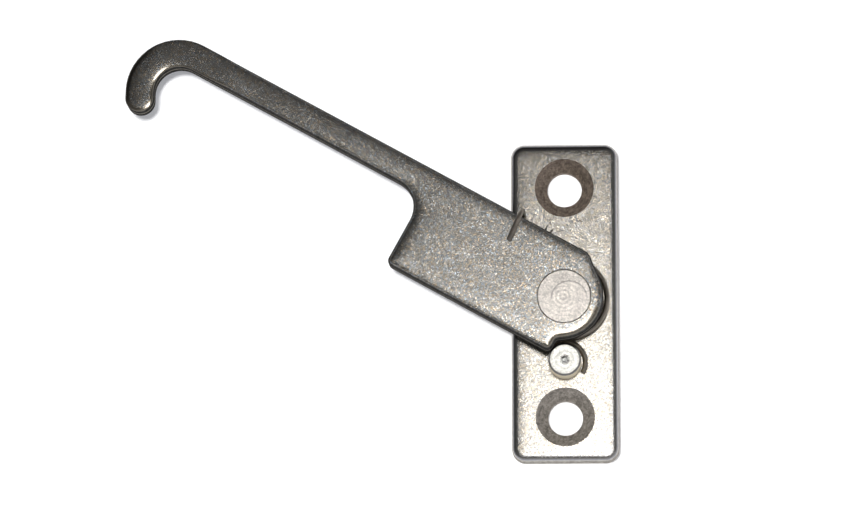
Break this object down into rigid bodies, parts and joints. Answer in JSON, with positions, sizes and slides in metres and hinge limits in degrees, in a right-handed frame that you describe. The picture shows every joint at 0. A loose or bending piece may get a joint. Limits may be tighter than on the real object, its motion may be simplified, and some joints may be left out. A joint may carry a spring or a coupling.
{
  "type": "window restrictor",
  "caption": "Flat screw-on plate with a spring-loaded swinging hook arm that limits how far a window opens.",
  "frame": {"origin": "middle of the two-screw pattern on the back face of the plate, which is also on the arm's turning axis", "axes": "+X across the plate, away from the hook; +Y along the plate, toward the screw on the hook's side; +Z out of the plate's front, along the turning axis"},
  "size_m": [0.0692, 0.0595, 0.0093],
  "materials": {
    "plate_steel": "satin, fine speckled grain",
    "rivet_steel": "turned, fine rings",
    "pin_steel": "turned, bright",
    "arm_steel": "satin, fine speckled grain",
    "spring_wire": "drawn wire, dull"
  },
  "bodies": {
    "base": {"base_plate": "plate_steel", "pivot_rivet": "rivet_steel", "stop_pin": "pin_steel", "torsion_spring": "spring_wire"},
    "arm": {"restrictor_arm": "arm_steel"}
  },
  "joints": [
    {"name": "arm_pivot", "type": "hinge", "parent": "base", "child": "arm", "pos_m": [0, 0, 0.0055], "axis": [0, 0, 1], "range_deg": [-135, 0], "stiffness_Nm_per_rad": 0.034, "springref_deg": 20.05, "deforming": ["torsion_spring"]}
  ]
}
